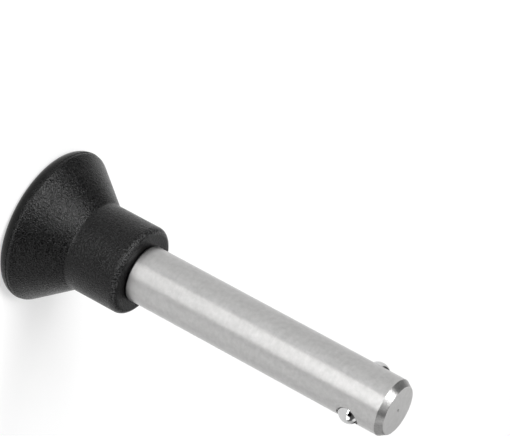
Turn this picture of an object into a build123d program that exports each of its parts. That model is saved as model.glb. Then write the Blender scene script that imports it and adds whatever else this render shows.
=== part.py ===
from build123d import *
from math import cos, radians, sin, sqrt, tan
import os

# Spring ball insert pin. Millimetres, +Z along the shank towards its tip.
# The origin is the centre of the shoulder, where the shank leaves the grip.
# The pin stands on the rim of its dished head.

# Shank, from the shoulder to the tip face
shank_radius = 8.0
shank_length = 81.0
tip_chamfer_length = 1.9
tip_chamfer_depth = 1.2
tip_edge_round = 0.15
centre_mark_radius = 0.5
centre_mark_depth = 0.3

# Tail of the shank, moulded into the grip, and the chamfer that steps down to it at the shoulder
foot_chamfer_length = 0.6
tail_radius = 7.55
tail_length = 21.0
tail_chamfer = 1.0
tail_groove_width = 4.0
tail_groove_depth = 1.2
tail_groove_below_shoulder = 6.0
tail_flat_length = 5.0
tail_flat_depth = 1.2

# Spring balls in one cross bore, held in by the staked mouths
ball_radius = 3.25
ball_protrusion = 1.5
ball_clearance = 0.04
ball_below_tip = 10.3
stake_radius = 3.25
stake_depth = 0.3

# Compression spring between the balls, its wire drawn with flat sides
wire_radius = 0.4
wire_sides = 8
spring_outer_radius = 2.8
spring_seat_gap = 0.05
spring_coils = 5

# Grip, outline from the shoulder down to the dish
collar_radius = 12.6
collar_length = 16.1
collar_round = 1.8
foot_relief_gap = 0.05
foot_relief_depth = 0.2
cone_angle = 36.5
waist_round = 0.8
head_radius = 21.65
rim_front_round = 0.8
rim_land = 0.5
parting_step = 0.12
rim_back_round = 3.2
rim_back_turn = 61.0
lip_round = 0.8
dish_slope = 34.0

# Lanyard hole, from the dish to the cone
lanyard_radius = 1.9
lanyard_from_axis = 17.1
lanyard_slant = 11.5

# Worked out from the sizes above
ball_height = shank_length - ball_below_tip
ball_offset = shank_radius + ball_protrusion - ball_radius
bore_radius = ball_radius + ball_clearance
spring_inner_radius = spring_outer_radius - 2 * wire_radius
spring_mean_radius = spring_outer_radius - wire_radius
spring_half = ball_offset - sqrt(ball_radius**2 - spring_inner_radius**2) - spring_seat_gap
cone_end_radius = head_radius - parting_step - rim_front_round * (1 - cos(radians(cone_angle)))
cone_end_drop = (cone_end_radius - collar_radius) / tan(radians(cone_angle))
tip_face_radius = shank_radius - tip_chamfer_depth
foot_relief_radius = shank_radius + foot_relief_gap

os.makedirs("parts", exist_ok=True)


def save(piece, name):
    piece.label = name
    export_step(piece, f"parts/{name}.step")


# Ring pressed down around each bore mouth, which turns the edge in over the ball
with BuildPart() as stake_rings:
    Cylinder(stake_radius, 3 * shank_radius, rotation=(0, 90, 0))
    Cylinder(shank_radius - stake_depth, 3 * shank_radius, mode=Mode.SUBTRACT)

# Cross bore: a plain bore whose ends close in as the balls' round seats
with BuildPart() as cross_bore:
    Cylinder(bore_radius, 2 * ball_offset, rotation=(0, 90, 0))
    with Locations((ball_offset, 0, 0), (-ball_offset, 0, 0)):
        Sphere(bore_radius)

with BuildPart() as shank:
    with BuildSketch(Plane.XZ) as shank_section:
        with BuildLine():
            Polyline(
                (0, shank_length - centre_mark_depth),
                (centre_mark_radius, shank_length),
                (tip_face_radius, shank_length),
                (shank_radius, shank_length - tip_chamfer_length),
                (shank_radius, foot_chamfer_length),
                (tail_radius, 0),
                (tail_radius, -tail_length + tail_chamfer),
                (tail_radius - tail_chamfer, -tail_length),
                (0, -tail_length),
                close=True,
            )
        make_face()
        tip_corners = [
            shank_section.vertices().sort_by_distance(corner)[0]
            for corner in (
                (tip_face_radius, shank_length),
                (shank_radius, shank_length - tip_chamfer_length),
            )
        ]
        fillet(tip_corners, tip_edge_round)
    revolve(axis=Axis.Z)
    # Groove that the moulding fills, so that the grip can't pull off
    with BuildSketch(Plane.XZ):
        with Locations((tail_radius, -tail_groove_below_shoulder)):
            Rectangle(2 * tail_groove_depth, tail_groove_width, align=(Align.CENTER, Align.MAX))
    revolve(axis=Axis.Z, mode=Mode.SUBTRACT)
    # Two flats, so that the grip can't turn
    with Locations((0, tail_radius, -tail_length), (0, -tail_radius, -tail_length)):
        Box(
            2 * tail_radius,
            2 * tail_flat_depth,
            tail_flat_length,
            align=(Align.CENTER, Align.CENTER, Align.MIN),
            mode=Mode.SUBTRACT,
        )
    with Locations((0, 0, ball_height)):
        add(stake_rings.part, mode=Mode.SUBTRACT)
        add(cross_bore.part, mode=Mode.SUBTRACT)
save(shank.part, "shank")

for name, side in (("detent_ball_right", 1), ("detent_ball_left", -1)):
    with BuildPart() as ball:
        with Locations((side * ball_offset, 0, ball_height)):
            Sphere(ball_radius)
    save(ball.part, name)

# The ends are ground flat, and each seats on its ball by the inner edge of the coil
with BuildPart() as spring:
    with BuildLine() as coil:
        Helix(
            pitch=2 * spring_half / spring_coils,
            height=2 * (spring_half + wire_radius),
            radius=spring_mean_radius,
            center=(-spring_half - wire_radius, 0, ball_height),
            direction=(1, 0, 0),
        )
    with BuildSketch(Plane(origin=coil.line @ 0, z_dir=coil.line % 0)):
        RegularPolygon(wire_radius, wire_sides)
    sweep(is_frenet=True)
    split(bisect_by=Plane.YZ.offset(spring_half), keep=Keep.BOTTOM)
    split(bisect_by=Plane.YZ.offset(-spring_half), keep=Keep.TOP)
save(spring.part, "detent_spring")

with BuildPart() as grip:
    with BuildSketch(Plane.XZ) as grip_section:
        with BuildLine():
            relief = Polyline(
                (0, -foot_relief_depth),
                (foot_relief_radius, -foot_relief_depth),
                (foot_relief_radius, 0),
            )
            face = Line(relief @ 1, (collar_radius - collar_round, 0))
            shoulder = JernArc(face @ 1, (1, 0), collar_round, -90)
            collar = Line(shoulder @ 1, (collar_radius, -collar_length))
            cone = Line(collar @ 1, (cone_end_radius, -collar_length - cone_end_drop))
            front = JernArc(cone @ 1, cone % 1, rim_front_round, -cone_angle)
            land = Line(front @ 1, front @ 1 - (0, rim_land))
            parting = Line(land @ 1, (head_radius, (land @ 1).Y))
            back = JernArc(parting @ 1, (0, -1), rim_back_round, -rim_back_turn)
            lip = JernArc(back @ 1, back % 1, lip_round, -(90 - rim_back_turn + dish_slope))
            dish = JernArc(lip @ 1, lip % 1, (lip @ 1).X / sin(radians(dish_slope)), dish_slope)
            Line(dish @ 1, relief @ 0)
        make_face()
        waist = grip_section.vertices().sort_by_distance((collar_radius, -collar_length))[0]
        fillet(waist, waist_round)
    revolve(axis=Axis.Z)
    # Moulded around the tail, with a shallow relief round the foot of the shank so that a plate lies flat
    add(shank.part, mode=Mode.SUBTRACT)
    # The lanyard hole starts one radius below the rim, leans inwards and ends level with the waist
    rim_bottom = grip.part.bounding_box().min.Z
    lanyard_rise = (-collar_length - rim_bottom) / cos(radians(lanyard_slant))
    lean = (0, -sin(radians(lanyard_slant)), cos(radians(lanyard_slant)))
    lanyard_mouth = Plane(origin=(0, lanyard_from_axis, rim_bottom), z_dir=lean)
    with BuildSketch(lanyard_mouth.offset(-lanyard_radius)):
        Circle(lanyard_radius)
    extrude(amount=lanyard_radius + lanyard_rise, mode=Mode.SUBTRACT)
save(grip.part, "grip")
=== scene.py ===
from math import cos, pi, radians, sin

import bmesh
import bpy
from mathutils import Matrix, Vector


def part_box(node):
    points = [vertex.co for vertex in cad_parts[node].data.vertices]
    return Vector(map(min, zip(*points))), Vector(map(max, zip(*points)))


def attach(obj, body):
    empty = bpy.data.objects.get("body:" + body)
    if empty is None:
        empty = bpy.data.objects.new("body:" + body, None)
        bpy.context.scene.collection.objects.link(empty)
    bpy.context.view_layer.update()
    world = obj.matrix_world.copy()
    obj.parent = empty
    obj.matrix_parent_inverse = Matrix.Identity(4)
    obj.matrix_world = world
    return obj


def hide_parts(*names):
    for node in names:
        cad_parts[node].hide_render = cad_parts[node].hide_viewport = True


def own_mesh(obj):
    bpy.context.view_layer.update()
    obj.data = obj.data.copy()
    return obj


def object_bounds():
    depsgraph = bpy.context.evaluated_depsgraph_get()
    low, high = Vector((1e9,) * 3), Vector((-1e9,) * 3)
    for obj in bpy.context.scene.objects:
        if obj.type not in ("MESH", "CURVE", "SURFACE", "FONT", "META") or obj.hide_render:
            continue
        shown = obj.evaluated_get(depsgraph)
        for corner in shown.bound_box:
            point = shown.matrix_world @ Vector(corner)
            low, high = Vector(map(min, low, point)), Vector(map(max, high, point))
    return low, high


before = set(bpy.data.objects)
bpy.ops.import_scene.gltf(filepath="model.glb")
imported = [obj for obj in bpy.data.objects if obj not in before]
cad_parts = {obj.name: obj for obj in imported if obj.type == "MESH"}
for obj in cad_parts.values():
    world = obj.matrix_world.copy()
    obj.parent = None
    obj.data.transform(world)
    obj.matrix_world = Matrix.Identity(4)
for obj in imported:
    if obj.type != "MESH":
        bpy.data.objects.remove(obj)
cad_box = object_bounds()

# Spring ball insert pin, standing on its dished head. Metres, +Z along the shank towards the tip.
# The origin is the centre of the shoulder, where the shank leaves the grip.

# The photograph's view: its size and focal length in pixels, its right and down directions in this frame,
# and the shoulder's pixel and its distance in front of the camera
picture_width = 510
picture_height = 436
focal_px = 3215.0
picture_right = Vector((-0.56648, 0.15015, 0.81030))
picture_down = Vector((0.74417, 0.51564, 0.42470))
shoulder_px = (142.6, 272.6)
shoulder_depth = 0.8451
sensor_width_mm = 36.0

# Studio. Azimuths are counter-clockwise from +X, and the camera stands at camera_azimuth
camera_azimuth = -67.2
lamp_distance = 2.5
# azimuth from the camera, elevation, width and height in degrees, radiance
lamps = {
    "key_lamp": (-48, 49, 26, 36, 13.0),
    "front_lamp": (2, 3.5, 60, 7, 19.5),
}
world_level = 0.13
# azimuth from the camera, elevation, full and fading radius in degrees, level
world_zones = (
    (0, 90, 15, 40, 0.24),
    (-162, 29, 10, 28, 2.0),
    (150, 2, 18, 32, 0.0),
    (120, 48, 8, 24, 1.3),
    (66, 2, 18, 30, 2.6),
    (-122, 10, 20, 42, 0.12),
    (26, 44, 12, 24, 0.11),
    (120, 15, 10, 24, 0.72),
    (-18, 40, 9, 17, 2.2),
    (31, 21, 15, 24, 0.0),
)
# Elevation of the white backdrop's top, and the degrees over which it ends
backdrop_top = 4.3
backdrop_edge = 1.0

# Floor. The backlight is the share of plain white by the pin, and the fade the distances where it grows to all
floor_radius = 30.0
floor_sides = 96
floor_white = 0.93
floor_mottle = 0.01
floor_fibre_scale = 60
floor_backlight = 0.5
floor_fade = (0.4, 1.4)

# Spring between the balls
spring_coils = 5
spring_wire_radius = 0.0004
spring_mean_radius = 0.0024
spring_wire_sides = 16
spring_steps = 48

# Range of a noise texture's values, but for its rare peaks. Scales of noise are per metre
noise_range = (0.3, 0.7)

# Black plastic. Greys are a level and a warmth, limits are of the normal's Z, and heights are in metres
plastic_ground = (0.0005, -0.02)
plastic_specks = (0.009, -0.01)
# Lighter grey on the collar's rounded corner: a painted highlight
plastic_painted_highlight = (0.03, -0.01)
plastic_specular = 0.85
plastic_ior = 1.2
grain_scale = 2300
grain_range = (0.42, 0.58)
grain_roughness = (0.36, 0.22)
grain_depth = 0.0002
pit_scale = 2800
pit_range = (0.44, 0.62)
back_limits = (-0.12, -0.03)
back_grain = 0.2
face_limits = (0.93, 0.99)
face_roughness = 0.12
# Heights and normal limits of the painted highlight on the collar's rounded corner
corner_painted_highlight_heights = (-0.0016, -0.0009)
corner_painted_highlight_limits = (0.9, 0.98)

# Ground steel. Ends and the slope of the chamfer are told by the normal's Z
steel_flecks = (0.1, 0.0)
# Lighter grey on the flat end: painted light
end_painted_light = (0.75, 0.008)
# Dark grey round the shank's foot by the grip: painted shade
foot_painted_shade = (0.03, 0.0)
fine_ring_scale = 9000
broad_ring_scale = 900
ring_change_around = 0.02
ring_depth = 0.0000015
wear_scale = 800
cloud_scale = 120
fleck_scale = 2400
broad_share = 0.5
ring_share = 0.35
wear_share = 0.98
streak_range = (0.5, 1.0)
end_limit = 0.9
# Share of painted light on the flat end
end_painted_light_share = 0.15
slope_normal = 0.53
slope_tolerance = 0.2
slope_flecks = 0.4
slope_roughness = 0.12
# Heights over which the painted shade at the foot fades out
foot_painted_shade_heights = (0.0004, 0.0008)
ring_roughness_change = 0.015
cloud_roughness_change = 0.02

# Polished steel
haze_scale = 500
mark_scale = 2500
mark_depth = 0.0000004
mark_roughness = (0.8, 1.3)


def direction(azimuth, elevation):
    a, e = radians(camera_azimuth + azimuth), radians(elevation)
    return Vector((cos(a) * cos(e), sin(a) * cos(e), sin(e)))


def new_object(name, data):
    made = bpy.data.objects.new(name, data)
    bpy.context.scene.collection.objects.link(made)
    return made


class Shading:
    """Short calls that add and join the nodes of one material or world."""

    def __init__(self, tree):
        self.tree = tree
        tree.nodes.clear()

    def node(self, kind, **settings):
        made = self.tree.nodes.new("ShaderNode" + kind)
        for name, value in settings.items():
            setattr(made, name, value)
        return made

    def put(self, socket, value):
        if isinstance(value, bpy.types.NodeSocket):
            self.tree.links.new(value, socket)
        else:
            socket.default_value = value

    def filled(self, kind, *values, **settings):
        """A node with its first inputs filled in order."""
        made = self.node(kind, **settings)
        for socket, value in zip(made.inputs, values):
            self.put(socket, value)
        return made

    def math(self, operation, *values, clamp=False):
        return self.filled("Math", *values, operation=operation, use_clamp=clamp).outputs[0]

    def vector_math(self, operation, *vectors):
        return self.filled("VectorMath", *vectors, operation=operation).outputs["Value"]

    def split(self, vector):
        return self.filled("SeparateXYZ", vector).outputs

    def vector(self, x, y, z):
        return self.filled("CombineXYZ", x, y, z).outputs[0]

    def noise(self, vector, scale, detail=2.0, roughness=0.5):
        made = self.node("TexNoise")
        self.put(made.inputs["Vector"], vector)
        self.put(made.inputs["Scale"], scale)
        self.put(made.inputs["Detail"], detail)
        self.put(made.inputs["Roughness"], roughness)
        return made.outputs["Fac"]

    def spread(self, value, low, high, to_low, to_high, smooth=False):
        made = self.node("MapRange", interpolation_type="SMOOTHSTEP" if smooth else "LINEAR")
        for name, number in (
            ("Value", value),
            ("From Min", low),
            ("From Max", high),
            ("To Min", to_low),
            ("To Max", to_high),
        ):
            self.put(made.inputs[name], number)
        return made.outputs[0]

    def between(self, factor, first, second):
        """A number between two others."""
        made = self.node("Mix")
        self.put(made.inputs["Factor"], factor)
        self.put(made.inputs[2], first)
        self.put(made.inputs[3], second)
        return made.outputs[0]

    def blend(self, factor, first, second):
        """A colour between two others."""
        made = self.node("Mix", data_type="RGBA")
        self.put(made.inputs["Factor"], factor)
        self.put(made.inputs[6], first)
        self.put(made.inputs[7], second)
        return made.outputs[2]

    def bump(self, height, distance, strength=1.0):
        made = self.node("Bump")
        self.put(made.inputs["Height"], height)
        self.put(made.inputs["Distance"], distance)
        self.put(made.inputs["Strength"], strength)
        return made.outputs[0]

    def end(self, kind, shader):
        self.put(self.node("Output" + kind).inputs["Surface"], shader)

    def surface(self, **values):
        shader = self.node("BsdfPrincipled")
        for name, value in values.items():
            self.put(shader.inputs[name.replace("_", " ")], value)
        self.end("Material", shader.outputs[0])


def new_material(name):
    material = bpy.data.materials.new(name)
    material.use_nodes = True
    return material, Shading(material.node_tree)


def grey(level, warmth=0.0):
    return (level * (1 + warmth), level, level * (1 - warmth), 1)


def black_plastic():
    """Spark-eroded grain, fainter on the back from the parting line on, duller on the collar's flat face,
    and lighter on the collar's rounded corner, a painted highlight."""
    material, shading = new_material("black_thermoplastic")
    place = shading.node("TexCoord").outputs["Object"]
    facing_up = shading.split(shading.node("NewGeometry").outputs["Normal"])["Z"]
    height = shading.split(place)["Z"]
    grained = shading.spread(facing_up, *back_limits, back_grain, 1.0)
    # Painted highlight: the collar's rounded corner is made lighter, through the specks
    corner_painted_highlight = shading.math(
        "MULTIPLY",
        shading.spread(height, *corner_painted_highlight_heights, 0, 1),
        shading.spread(facing_up, *corner_painted_highlight_limits, 1, 0),
    )
    coarse = shading.noise(place, grain_scale, detail=1.0)
    pits = shading.noise(place, pit_scale, detail=0.0)
    specks = shading.math("MULTIPLY", shading.spread(pits, *pit_range, 0, 1), grained)
    colour = shading.blend(specks, grey(*plastic_ground), grey(*plastic_specks))
    colour = shading.blend(shading.math("MULTIPLY", corner_painted_highlight, specks), colour, grey(*plastic_painted_highlight))
    rough = shading.math(
        "ADD",
        shading.spread(coarse, *grain_range, *grain_roughness),
        shading.spread(facing_up, *face_limits, 0, face_roughness),
    )
    shading.surface(
        Base_Color=colour,
        Roughness=rough,
        Specular_IOR_Level=plastic_specular,
        IOR=plastic_ior,
        Normal=shading.bump(coarse, grain_depth, grained),
    )
    return material


def ground_steel(name, light, dark, roughness, anisotropy):
    """Turned and ground round the axis: fine rings on the sides and on the flat end, the end painted lighter,
    a coarser, flecked chamfer at the tip, and a dark line of painted shade round the foot."""
    material, shading = new_material(name)
    place = shading.node("TexCoord").outputs["Object"]
    x, y, z = shading.split(place)
    facing_up = shading.split(shading.node("NewGeometry").outputs["Normal"])["Z"]
    on_end = shading.math("GREATER_THAN", shading.math("ABSOLUTE", facing_up), end_limit)
    on_slope = shading.math("COMPARE", facing_up, slope_normal, slope_tolerance)

    # The rings follow one another along the axis on the sides, and along the radius on the end
    radius = shading.math(
        "SQRT",
        shading.math("ADD", shading.math("POWER", x, 2), shading.math("POWER", y, 2)),
    )
    rings = shading.vector(
        shading.math("MULTIPLY", x, ring_change_around),
        shading.math("MULTIPLY", y, ring_change_around),
        shading.between(on_end, z, radius),
    )
    fine = shading.noise(rings, fine_ring_scale, roughness=0.6)
    broad = shading.noise(rings, broad_ring_scale)
    wear = shading.noise(place, wear_scale, detail=3.0, roughness=0.6)
    streaks = shading.math("ADD", fine, shading.math("MULTIPLY", broad, broad_share))
    streaks = shading.math(
        "ADD",
        shading.math("MULTIPLY", streaks, ring_share),
        shading.math("MULTIPLY", wear, wear_share),
    )
    turned = shading.blend(shading.spread(streaks, *streak_range, 0, 1), dark, light)

    flecks = shading.spread(shading.noise(place, fleck_scale, roughness=0.6), *noise_range, slope_flecks, 0)
    turned = shading.blend(shading.math("MULTIPLY", on_slope, flecks), turned, grey(*steel_flecks))
    # Painted light: the flat end is made lighter
    turned = shading.blend(shading.math("MULTIPLY", on_end, end_painted_light_share), turned, grey(*end_painted_light))
    # Painted shade: the shank darkened round its foot, where it meets the grip
    colour = shading.blend(shading.spread(z, *foot_painted_shade_heights, 1, 0), turned, grey(*foot_painted_shade))

    cloud = shading.noise(place, cloud_scale, detail=3.0, roughness=0.55)
    rough = shading.math(
        "ADD",
        shading.spread(
            broad, *noise_range, roughness - ring_roughness_change, roughness + ring_roughness_change
        ),
        shading.spread(cloud, *noise_range, -cloud_roughness_change, cloud_roughness_change),
    )
    rough = shading.math("ADD", rough, shading.math("MULTIPLY", on_slope, slope_roughness))
    shading.surface(
        Base_Color=colour,
        Metallic=1.0,
        Roughness=rough,
        Anisotropic=anisotropy,
        Tangent=shading.vector(on_end, 0, shading.math("SUBTRACT", 1.0, on_end)),
        Normal=shading.bump(fine, ring_depth),
    )
    return material


def polished_steel(name, light, dark, roughness):
    """Ball and wire finish: bright, with faint wipe marks and a little haze."""
    material, shading = new_material(name)
    place = shading.node("TexCoord").outputs["Object"]
    haze = shading.noise(place, haze_scale, detail=3.0, roughness=0.6)
    marks = shading.noise(place, mark_scale)
    least, most = mark_roughness
    shading.surface(
        Base_Color=shading.blend(shading.spread(haze, *noise_range, 0, 1), dark, light),
        Metallic=1.0,
        Roughness=shading.spread(marks, *noise_range, roughness * least, roughness * most),
        Normal=shading.bump(marks, mark_depth),
    )
    return material


def seen_rays(shading):
    """1 for what the camera sees directly, in metal or through glass, and 0 for the light on the object."""
    ray = shading.node("LightPath").outputs
    seen = shading.math("ADD", ray["Is Camera Ray"], ray["Is Glossy Ray"])
    return shading.math("ADD", seen, ray["Is Transmission Ray"], clamp=True)


def floor_paper():
    """Lit paper, mixed with plain white where it is seen: half of it by the pin, and all of it far away."""
    material, shading = new_material("floor_paper")
    place = shading.node("TexCoord").outputs["Object"]
    fibre = shading.noise(place, floor_fibre_scale, detail=3.0, roughness=0.6)
    colour = shading.blend(fibre, grey(floor_white - floor_mottle), grey(floor_white + floor_mottle))
    distance = shading.vector_math("LENGTH", place)
    backlight = shading.spread(distance, *floor_fade, floor_backlight, 1.0)
    paper = shading.filled("BsdfDiffuse", colour).outputs[0]
    white = shading.node("Emission").outputs[0]
    plain = shading.math("MULTIPLY", seen_rays(shading), backlight)
    shading.end("Material", shading.filled("MixShader", plain, paper, white).outputs[0])
    return material


def spring_wire(half_length):
    """A coil of round wire along X, a little longer than the spring, centred on the origin."""
    wire = bmesh.new()
    reach = half_length + spring_wire_radius
    turns = spring_coils * reach / half_length
    rings = []
    for step in range(round(turns * spring_steps) + 1):
        angle = 2 * pi * (step / spring_steps - turns / 2)
        outwards = Vector((0, cos(angle), sin(angle)))
        forwards = Vector((0, -sin(angle), cos(angle))) * spring_mean_radius
        forwards.x = half_length / (pi * spring_coils)
        across = forwards.normalized().cross(outwards)
        centre = spring_mean_radius * outwards + Vector((forwards.x * angle, 0, 0))
        rings.append([
            wire.verts.new(centre + spring_wire_radius * (cos(a) * outwards + sin(a) * across))
            for a in (2 * pi * k / spring_wire_sides for k in range(spring_wire_sides))
        ])
    for first, second in zip(rings, rings[1:]):
        for k in range(spring_wire_sides):
            n = (k + 1) % spring_wire_sides
            face = wire.faces.new((first[k], first[n], second[n], second[k]))
            face.smooth = True
    return wire


def paint(node, material):
    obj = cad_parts[node]
    obj.data.materials.clear()
    obj.data.materials.append(material)


paint("grip", black_plastic())
shank_finish = ground_steel(
    "stainless_steel",
    light=grey(0.452, 0.008),
    dark=grey(0.367, 0.008),
    roughness=0.31,
    anisotropy=0.75,
)
paint("shank", shank_finish)
ball_finish = polished_steel("ball_steel", light=grey(0.57), dark=grey(0.51), roughness=0.07)
paint("detent_ball_right", ball_finish)
paint("detent_ball_left", ball_finish)

# The spring, of round wire, as two halves that meet in the middle
spring_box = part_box("detent_spring")
spring_middle = (spring_box[0] + spring_box[1]) / 2
spring_half = (spring_box[1].x - spring_box[0].x) / 2
spring_finish = polished_steel(
    "spring_steel", light=grey(0.45, 0.01), dark=grey(0.38, 0.01), roughness=0.3
)
for side, half_name in ((1, "detent_spring_right"), (-1, "detent_spring_left")):
    wire = spring_wire(spring_half)
    for cut_x, outwards in ((0, -side), (side * spring_half, side)):
        bmesh.ops.bisect_plane(
            wire,
            geom=wire.verts[:] + wire.edges[:] + wire.faces[:],
            plane_co=(cut_x, 0, 0),
            plane_no=(outwards, 0, 0),
            clear_outer=True,
        )
    bmesh.ops.holes_fill(wire, edges=[edge for edge in wire.edges if edge.is_boundary])
    bmesh.ops.recalc_face_normals(wire, faces=wire.faces[:])
    half_mesh = bpy.data.meshes.new(half_name)
    wire.to_mesh(half_mesh)
    wire.free()
    half_mesh.materials.append(spring_finish)
    half = new_object(half_name, half_mesh)
    half.location = spring_middle
    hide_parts("detent_spring")
    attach(half, "pin")
    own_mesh(half)

# Floor under the rim of the head
floor_mesh = bpy.data.meshes.new("floor")
disc = bmesh.new()
bmesh.ops.create_circle(disc, cap_ends=True, segments=floor_sides, radius=floor_radius)
disc.to_mesh(floor_mesh)
disc.free()
floor_mesh.materials.append(floor_paper())
floor = new_object("floor", floor_mesh)
floor.location.z = cad_box[0].z

# Lamps, each a soft box that faces the middle of the pin
middle = (cad_box[0] + cad_box[1]) / 2
for name, (azimuth, elevation, width, height, radiance) in lamps.items():
    lamp = bpy.data.lights.new(name, "AREA")
    lamp.shape = "RECTANGLE"
    lamp.size = 2 * lamp_distance * sin(radians(width / 2))
    lamp.size_y = 2 * lamp_distance * sin(radians(height / 2))
    lamp.energy = radiance * pi * lamp.size * lamp.size_y
    towards = direction(azimuth, elevation)
    holder = new_object(name, lamp)
    holder.location = middle + lamp_distance * towards
    holder.rotation_euler = towards.to_track_quat("Z", "Y").to_euler()

# World, a plain soft room with a few lighter and darker sides, and a white backdrop low behind the floor
world = bpy.data.worlds.new("studio")
bpy.context.scene.world = world
world.use_nodes = True
room = Shading(world.node_tree)
looking = room.node("TexCoord").outputs["Generated"]
level = world_level
for azimuth, elevation, full, fading, zone_level in world_zones:
    near = room.vector_math("DOT_PRODUCT", looking, direction(azimuth, elevation))
    near = room.spread(near, cos(radians(fading)), cos(radians(full)), 0, 1, smooth=True)
    level = room.between(near, level, zone_level)
low = room.spread(
    room.split(looking)["Z"],
    sin(radians(backdrop_top)),
    sin(radians(backdrop_top + backdrop_edge)),
    1,
    0,
)
level = room.math("MAXIMUM", level, room.math("MULTIPLY", low, seen_rays(room)))
room.end("World", room.filled("Background", (1, 1, 1, 1), level).outputs[0])

# Camera of the photograph
picture_back = picture_right.cross(-picture_down).normalized()
camera_data = bpy.data.cameras.new("camera")
camera_data.sensor_width = sensor_width_mm
camera_data.lens = focal_px * sensor_width_mm / picture_width
camera = new_object("camera", camera_data)
right_of_middle = (shoulder_px[0] - picture_width / 2) / focal_px
under_middle = (shoulder_px[1] - picture_height / 2) / focal_px
camera.matrix_world = Matrix.Translation(
    shoulder_depth * (picture_back - right_of_middle * picture_right - under_middle * picture_down)
) @ Matrix((picture_right, -picture_down, picture_back)).transposed().to_4x4()
bpy.context.scene.camera = camera
bpy.context.scene.view_settings.view_transform = "Standard"
